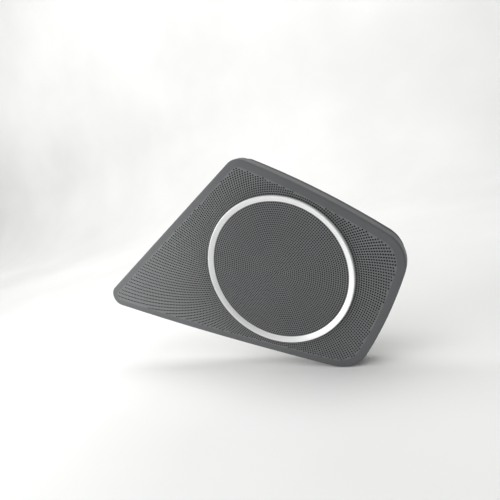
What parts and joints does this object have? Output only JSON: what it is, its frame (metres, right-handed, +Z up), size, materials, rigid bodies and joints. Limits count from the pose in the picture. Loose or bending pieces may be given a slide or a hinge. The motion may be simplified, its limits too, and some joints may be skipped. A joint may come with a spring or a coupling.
{
  "type": "car door loudspeaker module",
  "caption": "Kite-shaped perforated door grille with a bright trim ring, over a carrier frame with a coaxial loudspeaker: a cone woofer and a dome tweeter on its centre post.",
  "frame": {"origin": "on the loudspeaker's axis, in the plane where the carrier meets the door's inner panel", "axes": "+Z up as mounted, +Y along the loudspeaker's axis into the door, so that the grille faces -Y; +X to the right seen from inside the car"},
  "size_m": [0.3801, 0.0846, 0.2391],
  "materials": {
    "grille_plastic": "fine-textured moulded ABS, charcoal grey",
    "trim_metal": "moulded ABS with sprayed silver lacquer",
    "black_cloth": "open woven polyester",
    "carrier_plastic": "talc-filled polypropylene, black",
    "foam": "closed-cell foam",
    "zinc_steel": "zinc plated",
    "spring_steel": "phosphated spring steel",
    "brass": "turned brass",
    "basket_paint": "black electro-coated steel",
    "rubber": "butyl rubber",
    "cone_material": "mineral-filled polypropylene",
    "former": "aluminium foil former",
    "copper_wire": "enamelled copper winding",
    "spider_cloth": "phenolic-dipped cotton",
    "silver_braid": "tinsel braid",
    "ferrite": "sintered ferrite",
    "board": "phenolic paper board",
    "capacitor_film": "resin-dipped film capacitor",
    "tweeter_plastic": "moulded ABS, satin black",
    "neodymium": "nickel plated",
    "dome_silk": "coated silk"
  },
  "bodies": {
    "module": {"grille_panel": "grille_plastic", "trim_ring": "trim_metal", "acoustic_cloth": "black_cloth", "trim_ring_push_nuts": "spring_steel", "carrier_frame": "carrier_plastic", "mount_sleeves": "zinc_steel", "door_seal": "foam", "grille_screws": "zinc_steel", "speaker_inserts": "brass", "speaker_gasket": "foam", "speaker_screws": "zinc_steel", "basket": "basket_paint", "surround": "rubber", "surround_retainer": "foam", "top_plate": "zinc_steel", "basket_rivets": "zinc_steel", "magnet": "ferrite", "pole_yoke": "zinc_steel", "post_washer": "zinc_steel", "post_bolt": "zinc_steel", "tweeter_post": "tweeter_plastic", "terminal_board": "board", "terminal_blades": "brass", "terminal_rivets": "brass", "crossover_capacitor": "capacitor_film", "capacitor_clip": "spring_steel", "tweeter_housing": "tweeter_plastic", "tweeter_yoke": "zinc_steel", "tweeter_magnet": "neodymium", "tweeter_pole_piece": "zinc_steel", "tweeter_front_plate": "zinc_steel", "tweeter_suspension": "dome_silk", "tweeter_guard": "tweeter_plastic"},
    "cone_assembly": {"cone": "cone_material", "coil_former": "former", "voice_coil": "copper_wire", "spider": "spider_cloth", "spider_leads": "silver_braid"},
    "dome_assembly": {"tweeter_dome": "dome_silk", "tweeter_coil": "copper_wire"}
  },
  "joints": [
    {"name": "cone_travel", "type": "slide", "parent": "module", "child": "cone_assembly", "axis": [0, -1, 0], "range_m": [-0.004, 0.004], "stiffness_N_per_m": 1200, "deforming": ["surround", "spider", "spider_leads"]},
    {"name": "tweeter_travel", "type": "slide", "parent": "module", "child": "dome_assembly", "axis": [0, -1, 0], "range_m": [-0.0003, 0.0003], "stiffness_N_per_m": 1000, "deforming": ["tweeter_suspension"]}
  ]
}
